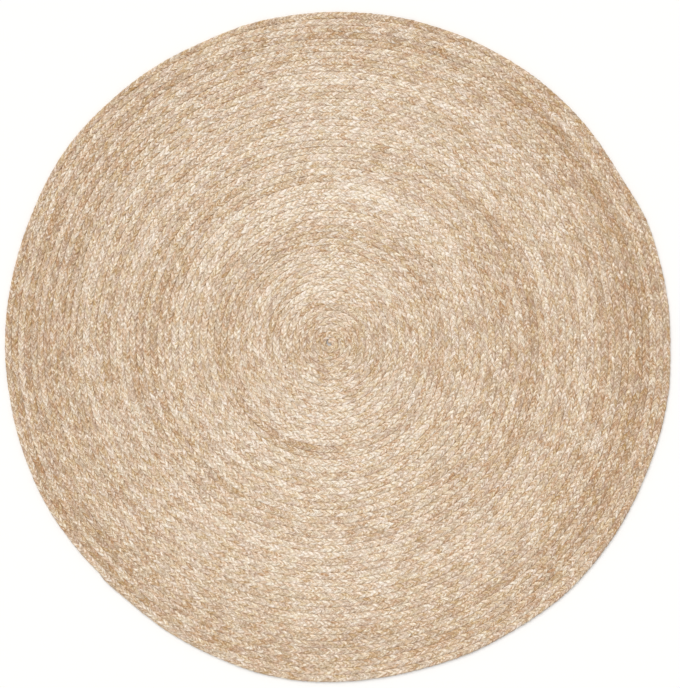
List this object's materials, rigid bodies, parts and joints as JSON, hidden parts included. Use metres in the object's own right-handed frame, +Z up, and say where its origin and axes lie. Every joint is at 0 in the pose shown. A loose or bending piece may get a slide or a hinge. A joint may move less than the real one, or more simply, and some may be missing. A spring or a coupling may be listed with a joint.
{
  "type": "round braided jute rug",
  "caption": "Flat round rug of braided jute, one plait wound in a spiral from the middle and sewn edge to edge, ending in a tapered tail on the rim.",
  "frame": {"origin": "middle of the rug's bounding box, on its flat underside", "axes": "+Z up out of the rug's face; seen from above with +Y up the page, the plait's tail ends at the lower left, at 226 degrees anticlockwise from +X"},
  "size_m": [1.4978, 1.5084, 0.009],
  "materials": {
    "jute": "undyed braided jute, matt, pale straw brown with darker and lighter turns"
  },
  "bodies": {
    "root": {"braided_coil": "jute"}
  },
  "joints": []
}
